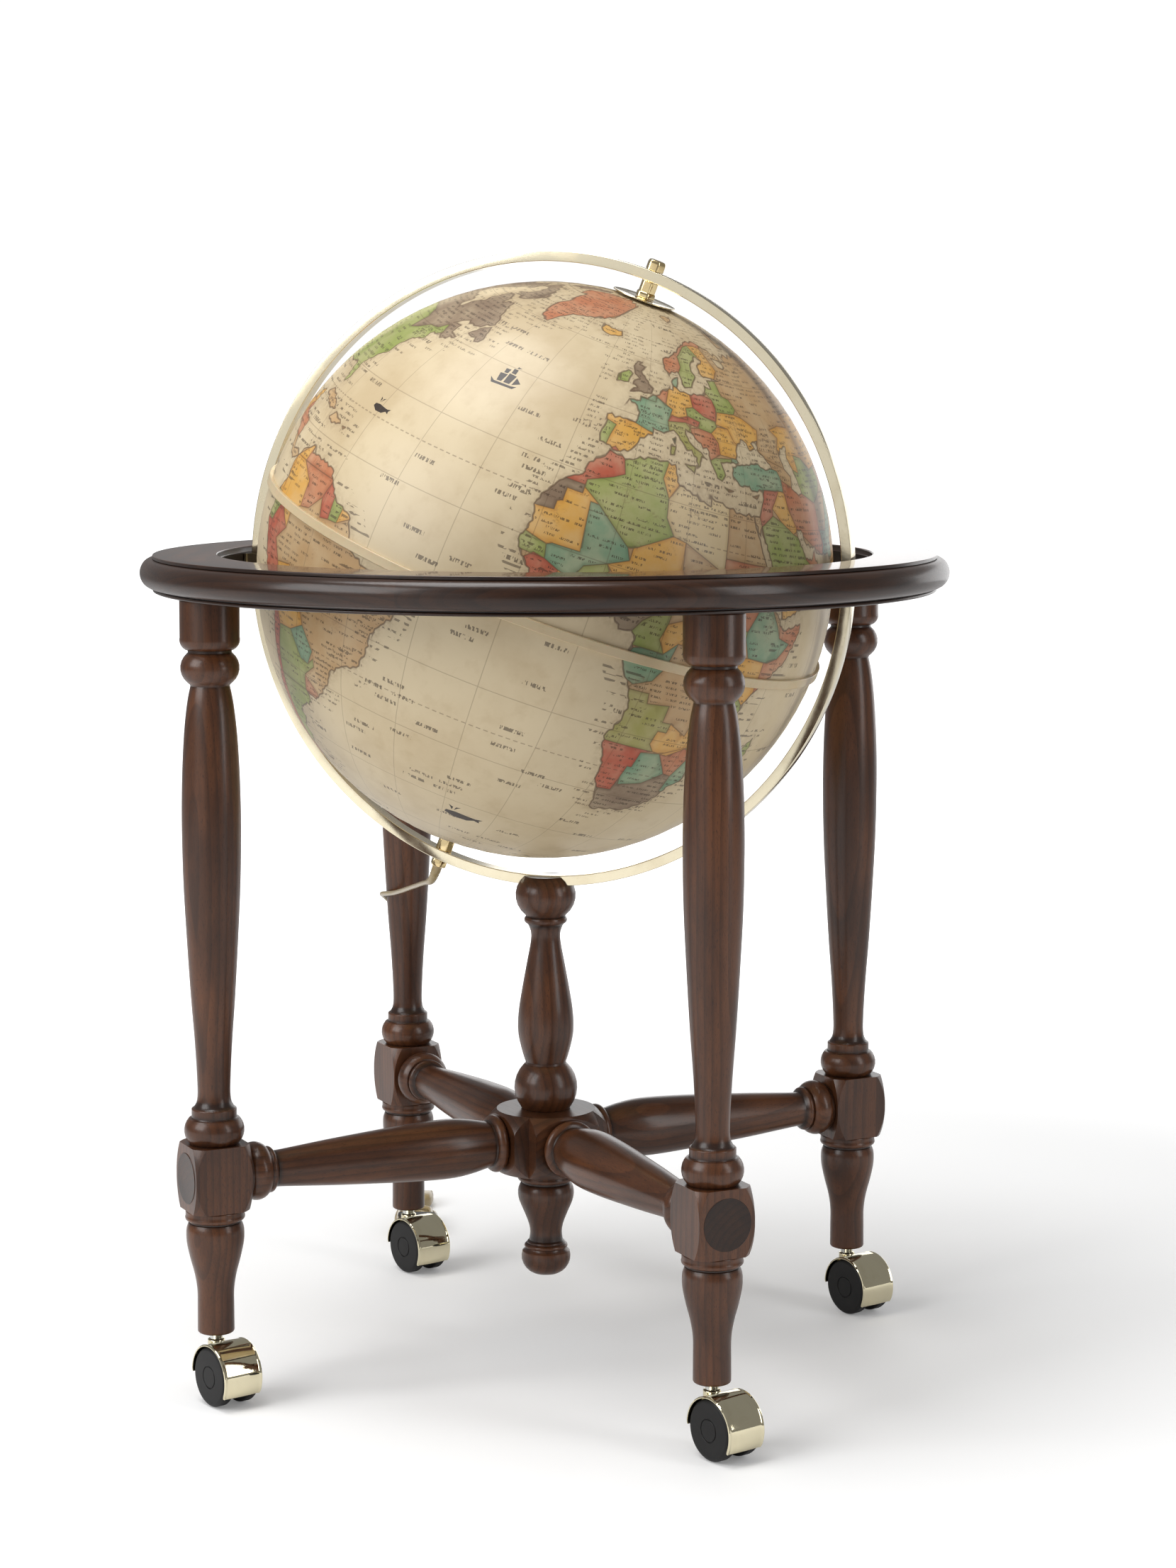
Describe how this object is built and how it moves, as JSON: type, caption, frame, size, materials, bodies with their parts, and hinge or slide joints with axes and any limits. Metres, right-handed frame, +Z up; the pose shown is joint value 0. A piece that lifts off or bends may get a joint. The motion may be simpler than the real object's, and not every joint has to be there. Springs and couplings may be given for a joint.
{
  "type": "floor-standing illuminated globe",
  "caption": "Illuminated antique-style globe in a tilting brass meridian ring, held by a wooden horizon ring on a turned stand with casters.",
  "frame": {"origin": "on the floor, under the centre of the sphere and of the horizon ring", "axes": "+Z up; the meridian ring stands in the XZ plane and the north pole leans towards +X; the legs stand on the diagonals, and -Y is the front"},
  "size_m": [0.7, 0.8176, 0.9686],
  "materials": {
    "stand_wood": "dark walnut stain, satin lacquer",
    "caster_gilt": "pale gilt chrome plating, mirror bright",
    "caster_steel": "zinc-plated steel",
    "wheel_black": "black nylon, slightly sheened",
    "meridian_brass": "polished and lacquered brass",
    "map_shell": "printed antique-style world map under a clear gloss coat",
    "band_tan": "translucent tan plastic",
    "lampholder_white": "white",
    "bulb_glass": "frosted glass",
    "cord_gold": "translucent gold PVC",
    "tie_black": "black"
  },
  "bodies": {
    "stand": {"horizon_ring": "stand_wood", "meridian_guide_left": "meridian_brass", "meridian_guide_right": "meridian_brass", "leg_front_right": "stand_wood", "block_plug_front_right": "stand_wood", "stretcher_front_right": "stand_wood", "leg_back_right": "stand_wood", "block_plug_back_right": "stand_wood", "stretcher_back_right": "stand_wood", "leg_back_left": "stand_wood", "block_plug_back_left": "stand_wood", "stretcher_back_left": "stand_wood", "leg_front_left": "stand_wood", "block_plug_front_left": "stand_wood", "stretcher_front_left": "stand_wood", "hub_core": "stand_wood", "hub_cheek_left": "stand_wood", "hub_cheek_right": "stand_wood", "centre_post": "stand_wood", "drop_finial": "stand_wood", "cord_run": "cord_gold", "cord_hank": "cord_gold", "cord_tie": "tie_black", "mains_plug": "cord_gold", "cord_clip": "lampholder_white"},
    "meridian": {"meridian_ring": "meridian_brass", "north_pin": "meridian_brass", "hour_dial": "meridian_brass", "north_spacer": "meridian_brass", "north_cap": "meridian_brass", "lamp_tube": "meridian_brass", "cord_gland": "meridian_brass", "cord_boot": "cord_gold", "lampholder": "lampholder_white", "bulb": "bulb_glass"},
    "globe": {"north_hemisphere": "map_shell", "south_hemisphere": "map_shell", "equator_band": "band_tan", "north_bush": "band_tan", "south_bush": "band_tan"},
    "caster_front_right": {"caster_hood_front_right": "caster_gilt", "caster_stem_front_right": "caster_steel", "caster_axle_front_right": "caster_steel"},
    "wheel_a_front_right": {"caster_wheel_a_front_right": "wheel_black"},
    "wheel_b_front_right": {"caster_wheel_b_front_right": "wheel_black"},
    "caster_back_right": {"caster_hood_back_right": "caster_gilt", "caster_stem_back_right": "caster_steel", "caster_axle_back_right": "caster_steel"},
    "wheel_a_back_right": {"caster_wheel_a_back_right": "wheel_black"},
    "wheel_b_back_right": {"caster_wheel_b_back_right": "wheel_black"},
    "caster_back_left": {"caster_hood_back_left": "caster_gilt", "caster_stem_back_left": "caster_steel", "caster_axle_back_left": "caster_steel"},
    "wheel_a_back_left": {"caster_wheel_a_back_left": "wheel_black"},
    "wheel_b_back_left": {"caster_wheel_b_back_left": "wheel_black"},
    "caster_front_left": {"caster_hood_front_left": "caster_gilt", "caster_stem_front_left": "caster_steel", "caster_axle_front_left": "caster_steel"},
    "wheel_a_front_left": {"caster_wheel_a_front_left": "wheel_black"},
    "wheel_b_front_left": {"caster_wheel_b_front_left": "wheel_black"}
  },
  "joints": [
    {"name": "meridian_slide", "type": "hinge", "parent": "stand", "child": "meridian", "pos_m": [0, 0, 0.693], "axis": [0, 1, 0], "range_deg": [-12, 55], "deforming": ["cord_run"]},
    {"name": "globe_spin", "type": "hinge", "parent": "meridian", "child": "globe", "pos_m": [0, 0, 0.693], "axis": [0.3584, 0, 0.9336], "continuous": true},
    {"name": "swivel_front_right", "type": "hinge", "parent": "stand", "child": "caster_front_right", "pos_m": [0.21835, -0.21835, 0.05], "axis": [0, 0, 1], "continuous": true},
    {"name": "roll_a_front_right", "type": "hinge", "parent": "caster_front_right", "child": "wheel_a_front_right", "pos_m": [0.23244, -0.22786, 0.025], "axis": [0.5592, 0.829, 0], "continuous": true},
    {"name": "roll_b_front_right", "type": "hinge", "parent": "caster_front_right", "child": "wheel_b_front_right", "pos_m": [0.23244, -0.22786, 0.025], "axis": [0.5592, 0.829, 0], "continuous": true},
    {"name": "swivel_back_right", "type": "hinge", "parent": "stand", "child": "caster_back_right", "pos_m": [0.21835, 0.21835, 0.05], "axis": [0, 0, 1], "continuous": true},
    {"name": "roll_a_back_right", "type": "hinge", "parent": "caster_back_right", "child": "wheel_a_back_right", "pos_m": [0.23244, 0.20884, 0.025], "axis": [0.5592, 0.829, 0], "continuous": true},
    {"name": "roll_b_back_right", "type": "hinge", "parent": "caster_back_right", "child": "wheel_b_back_right", "pos_m": [0.23244, 0.20884, 0.025], "axis": [0.5592, 0.829, 0], "continuous": true},
    {"name": "swivel_back_left", "type": "hinge", "parent": "stand", "child": "caster_back_left", "pos_m": [-0.21835, 0.21835, 0.05], "axis": [0, 0, 1], "continuous": true},
    {"name": "roll_a_back_left", "type": "hinge", "parent": "caster_back_left", "child": "wheel_a_back_left", "pos_m": [-0.20426, 0.20884, 0.025], "axis": [0.5592, 0.829, 0], "continuous": true},
    {"name": "roll_b_back_left", "type": "hinge", "parent": "caster_back_left", "child": "wheel_b_back_left", "pos_m": [-0.20426, 0.20884, 0.025], "axis": [0.5592, 0.829, 0], "continuous": true},
    {"name": "swivel_front_left", "type": "hinge", "parent": "stand", "child": "caster_front_left", "pos_m": [-0.21835, -0.21835, 0.05], "axis": [0, 0, 1], "continuous": true},
    {"name": "roll_a_front_left", "type": "hinge", "parent": "caster_front_left", "child": "wheel_a_front_left", "pos_m": [-0.20426, -0.22786, 0.025], "axis": [0.5592, 0.829, 0], "continuous": true},
    {"name": "roll_b_front_left", "type": "hinge", "parent": "caster_front_left", "child": "wheel_b_front_left", "pos_m": [-0.20426, -0.22786, 0.025], "axis": [0.5592, 0.829, 0], "continuous": true}
  ]
}
